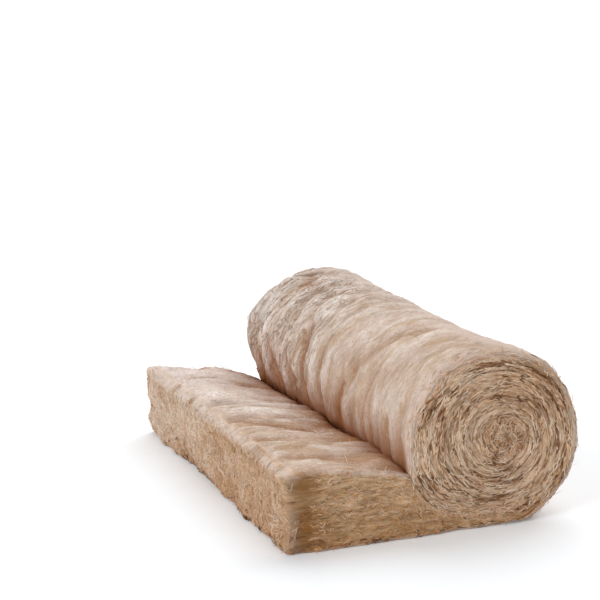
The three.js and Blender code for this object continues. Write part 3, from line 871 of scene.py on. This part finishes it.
for name, step, *parts in LEVELS:
    if step == "RANGE":
        limits = dict(zip(("From Min", "From Max", "To Min", "To Max"), parts[1:]))
        made = add_node(tree, "ShaderNodeMapRange", values=limits, links={"Value": level[parts[0]]})
    else:
        made = add_node(tree, "ShaderNodeMath", {"operation": step},
                        {k: part for k, part in enumerate(parts) if not isinstance(part, str)},
                        {k: level[part] for k, part in enumerate(parts) if isinstance(part, str)})
    level[name] = made.outputs[0]


def set_stops(colours, stops):
    """Gives a colour ramp its stops: where each one lies, and its colour."""
    shades = colours.color_ramp.elements
    shades[0].position, shades[1].position = stops[0][0], stops[-1][0]
    for position, _ in stops[1:-1]:
        shades.new(position)
    for shade, (_, code) in zip(shades, stops):
        shade.color = srgb(code)


def tinted(colour, tints):
    """A colour with tints laid over it one by one, each as strong as a level."""
    for share, code in tints:
        colour = add_node(tree, "ShaderNodeMix", {"data_type": "RGBA"}, {7: srgb(code)},
                          {"Factor": level[share], 6: colour}).outputs[2]
    return colour


pale_share = add_node(tree, "ShaderNodeMix", {"data_type": "FLOAT"}, {"Factor": RELIEF_LIGHT_SHARE},
                      {2: level["streaks"], 3: level["swell"]})
skin_colour = add_node(tree, "ShaderNodeValToRGB", links={"Fac": pale_share.outputs[0]})
set_stops(skin_colour, SKIN_COLOURS)
cut_colour = add_node(tree, "ShaderNodeValToRGB", links={"Fac": level["layers"]})
set_stops(cut_colour, CUT_COLOURS)
free_colour = add_node(tree, "ShaderNodeMix", {"data_type": "RGBA"}, FREE_END_COLOURS,
                       {"Factor": level["far"]})
# Splits between the layers are painted darker: painted shade in them.
split_colour = tinted(cut_colour.outputs["Color"], (("split", "#7f5634"),))
free_mix = add_node(tree, "ShaderNodeMix", {"data_type": "RGBA"},
                    links={"Factor": level["free end"], 6: split_colour, 7: free_colour.outputs[2]})
whole = add_node(tree, "ShaderNodeMix", {"data_type": "RGBA"},
                 links={"Factor": level["cut"], 6: tinted(skin_colour.outputs["Color"], SKIN_TINTS),
                        7: tinted(free_mix.outputs[2], CUT_TINTS)})
height = add_node(tree, "ShaderNodeMix", {"data_type": "FLOAT"},
                  links={"Factor": level["cut"], 2: level["skin height"], 3: level["cut height"]})
bump = add_node(tree, "ShaderNodeBump", values={"Strength": 1, "Distance": BUMP_HEIGHT},
                links={"Height": height.outputs[0]})
matt = add_node(tree, "ShaderNodeBsdfPrincipled",
                values={"Roughness": 0.95, "Specular IOR Level": 0.1, "Sheen Weight": 0.15,
                        "Sheen Roughness": 0.5, "Sheen Tint": srgb("#f3dcc2")},
                links={"Base Color": tinted(whole.outputs[2], TINTS), "Normal": bump.outputs["Normal"]})
add_node(tree, "ShaderNodeOutputMaterial", links={"Surface": matt.outputs["BSDF"]})
mat.data.materials.append(wool)
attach(mat, "root")
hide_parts("wool_roll")

# Wisps: small bundles of glass fibres that the saw pulled loose. They lie in the wool's own layers,
# partly sunk, browner by how much binder they took and paler or darker by their tone, which partly
# stands for painted light and shade, and they soften every edge. They are drawn far coarser than
# real fibres, which are too fine to show.
TONES = ((0.0, "#654327"), (0.35, "#b18257"), (0.6, "#dbb48d"), (0.8, "#efd9c6"), (1.0, "#fdf0dd"))
BINDER_COLOUR = "#f0c493"
WISP_SIDES, WISP_RINGS = 3, 5
NEIGHBOUR = 0.06  # of half a wisp: how far off its heading is taken
LOWEST = 0.0002  # above the floor

bpy.ops.object.select_all(action="DESELECT")
bpy.ops.mesh.primitive_uv_sphere_add(segments=WISP_SIDES, ring_count=WISP_RINGS, radius=1)
wisp = bpy.context.object
wisp_points = np.array([v.co for v in wisp.data.vertices])
wisp_faces = sorted(tuple(face.vertices) for face in wisp.data.polygons)  # the same on each run
bpy.data.objects.remove(wisp)

# Glass fibre that came loose: dull and soft, from dark to cream by its tone, which partly paints light
# and shade, and browner by how much binder it took.
wisp_wool, tree = new_material("loose glass fibre")
tone_at, binder_at = [add_node(tree, "ShaderNodeAttribute", {"attribute_name": name}).outputs["Fac"]
                      for name in ("tone", "binder")]
tone_colour = add_node(tree, "ShaderNodeValToRGB", links={"Fac": tone_at})
set_stops(tone_colour, TONES)
binder_tint = add_node(tree, "ShaderNodeMix", {"data_type": "RGBA", "blend_type": "MULTIPLY"},
                       {7: srgb(BINDER_COLOUR)}, {"Factor": binder_at, 6: tone_colour.outputs["Color"]})
matt = add_node(tree, "ShaderNodeBsdfPrincipled",
                values={"Roughness": 0.95, "Specular IOR Level": 0.1, "Sheen Weight": 0.1,
                        "Sheen Roughness": 0.6},
                links={"Base Color": binder_tint.outputs[2]})
add_node(tree, "ShaderNodeOutputMaterial", links={"Surface": matt.outputs["BSDF"]})


def unit(vectors):
    """Vectors with their lengths made 1."""
    return vectors / np.maximum(np.linalg.norm(vectors, axis=1), 1e-9)[:, None]


def wisps(name, path, out, half_width, half_depth, tone, binder):
    """One mesh of many wisps. path(part) gives their middles, with part from -1 to 1."""
    count = len(out)
    points = np.empty((count, len(wisp_points), 3))
    for part in np.unique(np.round(wisp_points[:, 2], 4)):
        along = unit(path(part + NEIGHBOUR) - path(part - NEIGHBOUR))
        side = unit(np.cross(along, out))
        up = np.cross(side, along)
        middle = path(part)
        for k in np.flatnonzero(np.abs(wisp_points[:, 2] - part) < 1e-3):
            x, y = wisp_points[k, :2]
            points[:, k] = middle + side * (x * half_width)[:, None] + up * (y * half_depth)[:, None]
    points[:, :, 2] = np.maximum(points[:, :, 2], LOWEST)
    mesh = bpy.data.meshes.new(name)
    starts = (np.arange(count) * len(wisp_points))[:, None]
    faces = [row for face in wisp_faces for row in (starts + np.array(face)).tolist()]
    mesh.from_pydata(points.reshape(-1, 3).tolist(), [], faces)
    mesh.materials.append(wisp_wool)
    made = bpy.data.objects.new(name, mesh)
    give(made, {"tone": np.repeat(tone, len(wisp_points)), "binder": np.repeat(binder, len(wisp_points))})
    bpy.context.collection.objects.link(made)
    bpy.ops.object.select_all(action="DESELECT")
    made.select_set(True)
    bpy.context.view_layer.objects.active = made
    bpy.ops.object.shade_smooth()
    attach(made, "root")


def sunken(placed, out, part, sunk, dips=0.0010, lifted=0):
    """Middles of wisps whose two tips dip into the wool, or one of whose tips is lifted from it."""
    return placed + out * (sunk - dips * part**2 + lifted * (0.5 + 0.5 * part))[:, None]


# A sawn end's wisps: the shares of them on its rim, beside the seam's mouth and, of those on the
# rim, on its inner side, how far they lap over it, and their sizes in metres.
ON_RIM, BESIDE_SEAM, ON_INNER_SIDE = 0.17, 0.07, 0.5
FIRST_STATION, FIRST_INNER_STATION = 6.5, 9
LAP, LAP_STARTS = 0.045, 0.004
SAWN_LENGTHS, SAWN_WIDTHS = (0.0035, 0.0115), (0.0006, 0.0019)  # both halved
SAWN_TILT, SAWN_BOW = 0.27, 0.0020
SAWN_SUNK, SAWN_LIFTED = (-0.0016, 0.0010), (0.001, 0.004)
KNOT_REACH = (0.018, 0.048)
# Arcs along the layers of a sawn end: pale ones, and dark ones that are painted shade where the layers
# part.
ARCS = (0.090, 0.0095, EVEN)
PALE_ARC, DARK_ARC, ARC_EDGE = 0.25, 0.75, (0.20, 0.55)


def cut_end_wisps(name, end, count, seed):
    """Wisps on a sawn end, which follow the layers round the spiral and lap over its rim."""
    rng = np.random.default_rng(seed)
    area = step_length * thickness
    on_rim = rng.uniform(0, 1, count) < ON_RIM
    spread = np.where(station_turn < 1, station_along, station_along[wound_first])
    rim_place = rng.uniform(0.03, 1, count) * spread[-1]
    face_place = rng.uniform(0.02, 1, count)
    station = np.where(on_rim, np.interp(rim_place, spread[:wound_first], np.arange(wound_first)),
                       np.interp(face_place, np.cumsum(area) / area.sum(), np.arange(len(area))))
    elsewhere = rng.uniform(FIRST_STATION, LEAF_STATIONS, count)
    station = np.where(station < FIRST_STATION, elsewhere, station)
    beside_seam = rng.uniform(0, 1, count) < BESIDE_SEAM
    station = np.where(beside_seam, LEAF_STATIONS + 3 + 30 * rng.uniform(0, 1, count) ** 1.5, station)
    on_rim = on_rim & ~beside_seam
    thick = at(thickness, station)
    over = (LAP * (1 - np.sqrt(rng.uniform(0, 1, count))) - LAP_STARTS) / thick
    inside = rng.uniform(0, 1, count) < ON_INNER_SIDE
    inside = inside & (station < LEAF_STATIONS) & (station > FIRST_INNER_STATION)
    share = np.where(on_rim, np.where(inside, 1 + over, -over), rng.uniform(-0.04, 1.04, count))
    share = np.where(beside_seam, rng.uniform(0.85, 1.12, count), share)
    section = at(outer_line, station) + (at(inner_line, station) - at(outer_line, station)) * share[:, None]
    x, z = section.T
    layer_place = np.stack([at(station_along, station), share * thick, 0 * share], axis=1)

    on_leaf = 1 - ramp(station, LEAF_STATIONS, LEAF_STATIONS + 20)
    at_knot = 1 - ramp(np.hypot(x - KNOT_X, z - KNOT_Z), *KNOT_REACH)
    tangled = np.maximum(np.exp(-(((station - LEAF_STATIONS - 5) / 5) ** 2)), 0.8 * beside_seam)
    half_length = rng.uniform(*SAWN_LENGTHS, count) * (1 - 0.5 * at_knot)
    tilt = rng.normal(0, SAWN_TILT, count)
    tilt = tilt * (1 + 0.9 * on_leaf + 3 * at_knot + 0.4 * on_rim + 2.5 * tangled)
    bow = rng.normal(0, SAWN_BOW, count) * (1 + 0.6 * on_leaf + 1.5 * at_knot)
    sunk = rng.uniform(*SAWN_SUNK, count)
    loose = (rng.uniform(0, 1, count) < 0.07 + 0.4 * tangled + 0.4 * at_knot) & (station > 20)
    lifted = np.where(loose, rng.uniform(*SAWN_LIFTED, count), 0)
    half_width = rng.uniform(*SAWN_WIDTHS, count) * (1 - 0.2 * on_leaf)

    # Pale and dark by layers, the dark arcs painted shade where layers part; darker the deeper a wisp
    # sinks and paler if it is lifted, painted shade and light; darker in the stains; browner with binder
    # towards the floor and darker there and in spots at the foot, painted shade; paler up the left rim,
    # a painted highlight where it faces the light; and paler over the crevice's mouth, a painted
    # highlight on the fuzz there.
    arcs = lumps(layer_place, *ARCS, seed + 10)
    arcs = PALE_ARC * ramp(-arcs, *ARC_EDGE) - DARK_ARC * ramp(arcs, *ARC_EDGE)
    tone = 0.92 + rng.normal(0, 1, count) * (0.22 + 0.04 * on_leaf) + 120 * sunk
    tone = tone + 0.25 * lumps(layer_place, 0.09, 0.05, EVEN, seed)
    tone = tone + arcs * (1 - 0.4 * on_leaf) + 0.05 * at_knot + 0.12 * on_leaf
    stained = patch(x + LEAF_LENGTH, z + AXIS_Z, 0.040, 0.140, 0.05, 0.05)
    ring_stained = patch(x, z, 0.11, 0.11, 0.08, 0.07)
    tone = np.where(lifted > 0, tone + 0.10, tone) - (0.42 * stained + 0.12 * ring_stained) * (end < 0)
    shaded_foot_spots = ramp(lumps(section[:, [0, 0, 0]], 0.018, EVEN, EVEN, seed + 1), 0.0, 0.5)
    tone = tone - 0.14 * (1 - ramp(z, -AXIS_Z, -AXIS_Z + 0.04))
    tone = tone - 0.6 * shaded_foot_spots * (1 - ramp(z, -AXIS_Z + 0.004, -AXIS_Z + 0.016))
    facing_the_light = ramp(np.cos(np.arctan2(z, x) - math.radians(150)), 0.2, 0.8)
    rim_tone = 0.80 + rng.normal(0, 0.06, count)
    tone = np.where(on_rim & (over > 0.06), tone + (rim_tone - tone) * facing_the_light, tone)
    tone = tone + 0.22 * patch(x, z + AXIS_Z, -0.235, 0.125, 0.07, 0.03)
    tone = np.clip(tone, 0, 0.98 - 0.04 * on_leaf)
    binder = 0.28 + 0.38 * on_leaf * (1 - 0.7 * on_rim) + 0.35 * (1 - ramp(z, -AXIS_Z, -AXIS_Z + 0.08))
    binder = binder + 0.3 * ring_stained + rng.normal(0, 1, count) * (0.12 + 0.2 * on_leaf)
    binder = np.clip(binder, 0.25 * on_leaf, 1)
    first_row = 0 if end < 0 else ROWS

    def place_on(at_station, at_share):
        """Where wisps lie on the sawn end, or past its rim on a skin, and which way that faces."""
        thick = at(thickness, at_station)
        lowest = np.where(at_station > wound_first, -0.25, -0.9)
        highest = np.where(at_station > fold_station, 1.25, 1.9)
        highest = np.where(at_station > last_station - 130, 1, highest)
        at_share = np.clip(at_share, lowest, highest)
        outwards = (at_share < 0) & (at_station < wound_first)
        inwards = (at_share > 1) & (at_station < fold_station)
        beyond = np.where(outwards, -at_share, np.where(inwards, at_share - 1, 0)) * thick
        rounding = np.where(inwards, at(inner_round, at_station), at(outer_round, at_station))
        quarter = rounding * math.pi / 2
        row = ROUND_ROWS * np.clip(beyond / quarter, 0, 1)
        row = row + WALL_ROWS * np.clip((beyond - quarter) / (GAP_DEPTH - rounding), 0, 1)
        at_share = np.where(outwards, 0, np.where(inwards, 1, at_share))
        placed, lie, _, depth = cut_points(at_station, at_share, np.abs(first_row - row))
        turned = np.clip(beyond / quarter, 0, 1) * math.pi / 2
        skin_out = np.where(inwards[:, None], at(inner_out, at_station), at(outer_out, at_station))
        skin_x, skin_z = np.sin(turned) * skin_out.T
        out = np.stack([skin_x, end * np.cos(turned), skin_z], axis=1)
        cut = 1 - ramp(turned / (math.pi / 2), CUT_FROM, CUT_BY)
        return relieved(placed + AXIS, out, lie, cut, depth), out

    def path(part):
        at_station = station + part * half_length * np.cos(tilt) / at(step_length, station)
        at_share = share + (part * half_length * np.sin(tilt) + bow * part**2) / thick
        placed, out = place_on(np.clip(at_station, 4, last_station), at_share)
        return sunken(placed, out, part, sunk, lifted=lifted)

    wisps(name, path, place_on(station, share)[1], half_width, half_width * 0.5, tone, binder)


FREE_LENGTHS, FREE_WIDTHS = (0.004, 0.011), (0.0006, 0.0018)  # both halved
FREE_SLANT, FREE_SLANT_SPREAD, FREE_BOW = math.radians(35), 0.95, 0.0045
FREE_SUNK, FREE_LIFTED = (-0.0022, 0.0012), (0.001, 0.006)
FREE_EDGE, TIP_EDGE = 0.014, 0.006  # how near the mat's sides a wisp and its tips come


def free_end_wisps(name, count, seed):
    """Wisps on the torn free end: tufts that hang down and to the side."""
    rng = np.random.default_rng(seed)
    share = rng.uniform(0.01, 0.97, count)
    y = rng.uniform(-HALF_WIDTH + FREE_EDGE, HALF_WIDTH - FREE_EDGE, count)
    half_length = rng.uniform(*FREE_LENGTHS, count)
    slant = FREE_SLANT * ramp(y, -0.2, 0.3) + rng.normal(0, FREE_SLANT_SPREAD, count)
    bow = rng.normal(0, FREE_BOW, count)
    sunk = rng.uniform(*FREE_SUNK, count)
    lifted = np.where(rng.uniform(0, 1, count) < 0.2, rng.uniform(*FREE_LIFTED, count), 0)
    half_width = rng.uniform(*FREE_WIDTHS, count)

    # Paler towards the far side and on the brow; paler on the tufts, darker in the hollows between them
    # and the deeper a wisp sinks, painted light and shade; and at the foot browner with binder and darker,
    # most in spots, painted shade.
    broad = lumps(np.stack([0 * y, share * MAT_THICKNESS, y], axis=1), *TUFTS)
    far = ramp(y, -0.25, 0.35)
    tone = 0.69 + 0.15 * far + rng.normal(0, 0.04, count) * (1 + 3 * far) + 22 * sunk * (1 + 3 * far)
    tone = tone + (0.16 + 0.30 * far) * broad
    shaded_foot_spots = ramp(lumps(np.stack([0 * y, 0 * y, y], axis=1), EVEN, EVEN, 0.016, seed + 1), 0.1, 0.5)
    brow = 0.90 + 0.05 * line_noise(y * 16, 29)
    tone = tone + 0.20 * ramp(share - brow, -0.02, 0.03) - (0.15 + 0.8 * shaded_foot_spots) * ramp(-share, -0.14, 0.0)
    tone = np.clip(tone + 0.12 * ramp(np.abs(y), HALF_WIDTH - EDGE_BAND, HALF_WIDTH), 0, 0.90)
    binder = 0.22 - 0.14 * far + rng.normal(0, 0.10, count)
    binder = np.clip(binder + 0.3 * ramp(-share, -0.3, 0) - 0.2 * ramp(share, 0.85, 1.0), 0, 1)
    turned = ramp(share, 1 - FREE_ROUNDING_TOP / MAT_THICKNESS, 1) * math.pi / 2
    out = np.stack([-np.cos(turned), 0 * y, np.sin(turned)], axis=1)

    def path(part):
        at_share = share + (part * half_length * np.cos(slant) + bow * part**2) / MAT_THICKNESS
        at_y = y + part * half_length * np.sin(slant)
        at_y = np.clip(at_y, -HALF_WIDTH + TIP_EDGE, HALF_WIDTH - TIP_EDGE)
        at_row = np.clip(END_ROWS + MIDDLE_ROWS / 2 * (1 + at_y / (HALF_WIDTH - GAP_DEPTH)), 0, ROWS)
        on_skin = at_share > 1
        beyond = np.clip(at_share - 1, 0, 1) * MAT_THICKNESS / step_length[0]
        ends = cut_points(0 * y, np.clip(at_share, 0, 1), at_row)
        tops = skin_points("inner", beyond, at_row)
        placed, lie, cut, depth = [np.where(on_skin if a.ndim == 1 else on_skin[:, None], b, a)
                                   for a, b in zip(ends, tops)]
        return sunken(relieved(placed + AXIS, out, lie, cut, depth), out, part, sunk, lifted=lifted)

    wisps(name, path, out, half_width, half_width * 0.5, tone, binder)


SKIN_LENGTHS, SKIN_WIDTHS = (0.004, 0.013), (0.0005, 0.0014)  # both halved
SKIN_SHARE_ON_LEAF, SKIN_FROM, SKIN_TO = 0.28, 0.22, 0.92  # of a turn, on the roll
SKIN_TILT, SKIN_BOW, SKIN_SUNK = 0.9, 0.0045, (-0.0007, 0.0001)


def skin_wisps(name, count, seed):
    """Wisps felted into the two skins, along the mat."""
    rng = np.random.default_rng(seed)
    on_leaf = rng.uniform(0, 1, count) < SKIN_SHARE_ON_LEAF
    leaf_station = rng.uniform(1, LEAF_STATIONS - 6, count)
    roll_station = rng.uniform(LEAF_STATIONS + SKIN_FROM * TURN_STATIONS,
                               LEAF_STATIONS + SKIN_TO * TURN_STATIONS, count)
    station = np.where(on_leaf, leaf_station, roll_station)
    y = rng.uniform(-HALF_WIDTH + EDGE_BAND, HALF_WIDTH - EDGE_BAND, count)
    half_length = rng.uniform(*SKIN_LENGTHS, count)
    tilt = rng.normal(0, SKIN_TILT, count)
    bow = rng.normal(0, SKIN_BOW, count)
    sunk = rng.uniform(*SKIN_SUNK, count)
    half_width = rng.uniform(*SKIN_WIDTHS, count)
    tone = np.clip(0.81 + rng.normal(0, 0.065, count), 0, 1)

    def on_skin(inner, outer, at_station):
        """A value of the skin that shows: the leaf's top or the roll's outside."""
        return np.where(on_leaf[:, None], at(inner, at_station), at(outer, at_station))

    def out_at(at_station):
        out = on_skin(inner_out, outer_out, at_station)
        return np.stack([out[:, 0], 0 * y, out[:, 1]], axis=1)

    def path(part):
        at_station = station + part * half_length * np.cos(tilt) / at(step_length, station)
        at_y = y + part * half_length * np.sin(tilt) + bow * part**2
        x, z = on_skin(inner_line, outer_line, at_station).T
        across = np.where(on_leaf, at(thickness, at_station), 0)
        lie = np.stack([at(station_along, at_station), across, at_y], axis=1)
        out = out_at(at_station)
        placed = relieved(np.stack([x, at_y, z], axis=1) + AXIS, out, lie, 0 * y, 0 * y)
        return sunken(placed, out, part, sunk, dips=0.0004)

    wisps(name, path, out_at(station), half_width, half_width * 0.45, tone, 0 * tone)


STRAY_LENGTHS, STRAY_WIDTHS = (0.007, 0.024), (0.00030, 0.00060)  # whole, and halved
CLEAR_OF_KNOT = 0.15


def stray_wisps(name, count, seed):
    """Thin strays that stand off the surface, most of them along the edges."""
    rng = np.random.default_rng(seed)
    points, normals, lie = map(read, ("co", "normal", "lie"))
    cut, depth, nearness = [read(attribute, 1) for attribute in ("cut", "depth", "nearness")]
    rim = np.abs(points[:, 1]) > HALF_WIDTH - EDGE_BAND
    wanted = 0.15 * (cut < 0.999) + 0.03
    wanted = wanted + 2.0 * (rim & (cut > 0.02) & (cut < 0.999)) + 0.15 * rim + 0.6 * (lie[:, 0] < 0.02)
    wanted = wanted * (depth < 0.01) * (points[:, 2] > 0.004) * (nearness < 0.4)
    wanted = wanted * (np.hypot(points[:, 0] - AXIS_X, points[:, 2] - AXIS_Z) > CLEAR_OF_KNOT)
    chosen = rng.choice(len(points), count, p=wanted / wanted.sum())
    start, out = points[chosen], unit(normals[chosen])
    aside = unit(np.cross(out, rng.normal(0, 1, (count, 3))))
    lean = 0.55 * rng.uniform(0.2, 1.2, count)[:, None]
    heading = unit(out * np.sin(lean) + aside * np.cos(lean))
    length = rng.uniform(*STRAY_LENGTHS, count)[:, None]
    curl = aside * rng.normal(0, 0.35, count)[:, None] - out * rng.uniform(0.1, 0.5, count)[:, None]
    half_width = rng.uniform(*STRAY_WIDTHS, count)
    on_side = ramp(cut[chosen], 0.3, 0.9) * rim[chosen]
    tone = np.clip(rng.normal(0.76, 0.10, count) - 0.10 * on_side, 0, 1)

    def path(part):
        reach = (part + 1) / 2
        placed = start + length * (heading * reach + curl * reach**2) - out * 0.0008
        placed[:, 2] = np.maximum(placed[:, 2], 0.0005)
        return placed

    facing = np.cross(heading, aside) + out * 1e-3
    wisps(name, path, facing, half_width, half_width, tone, 0.9 * on_side)


CURL_REACH = 0.044  # from the knot's middle
CURL_RADII, CURL_SPANS = (0.004, 0.010), (0.8, 1.9)
CURL_WIDTHS, CURL_STANDS = (0.0008, 0.0018), (-0.0005, 0.0030)


def knot_curls(name, end, count, seed):
    """Curled tufts in the middle of a sawn end, where the innermost turn is too tight to lie flat."""
    rng = np.random.default_rng(seed)
    surface = [v.co.copy() for v in mat.data.vertices if v.co.y * end > HALF_WIDTH - EDGE_BAND]
    nearest = KDTree(len(surface))
    for k, co in enumerate(surface):
        nearest.insert((co.x, 0, co.z), k)
    nearest.balance()
    away = CURL_REACH * np.sqrt(rng.uniform(0, 1, count))
    heading = rng.uniform(0, 2 * math.pi, count)
    middle_x = AXIS_X + KNOT_X + away * np.cos(heading)
    middle_z = AXIS_Z + KNOT_Z + away * np.sin(heading)
    radius = rng.uniform(*CURL_RADII, count)
    start = heading + rng.normal(0, 0.9, count)
    span = rng.uniform(*CURL_SPANS, count)
    stands = rng.uniform(*CURL_STANDS, count)
    half_width = rng.uniform(*CURL_WIDTHS, count)
    # Curls that stand out are paler and sunken ones darker: painted light and shade.
    tone = np.clip(0.76 + rng.normal(0, 0.24, count) + 60 * (stands - 0.001), 0, 0.98)
    out = np.tile((0.0, float(end), 0.0), (count, 1))

    def path(part):
        x = middle_x + radius * (np.cos(start + part * span) - 0.5 * np.cos(start))
        z = middle_z + radius * (np.sin(start + part * span) - 0.5 * np.sin(start))
        y = [surface[nearest.find((a, 0, b))[1]].y for a, b in zip(x, z)]
        return np.stack([x, np.array(y) + end * stands * (1 - 0.5 * part**2), z], axis=1)

    wisps(name, path, out, half_width, half_width * 0.6, tone, 0.5 + 0 * tone)


knot_curls("front_knot_curls", -1, 330, 56)
knot_curls("back_knot_curls", 1, 330, 57)
cut_end_wisps("front_end_wisps", -1, 8200, 51)
cut_end_wisps("back_end_wisps", 1, 4500, 52)
free_end_wisps("free_end_wisps", 6500, 53)
skin_wisps("skin_wisps", 2600, 54)
stray_wisps("stray_wisps", 4500, 55)
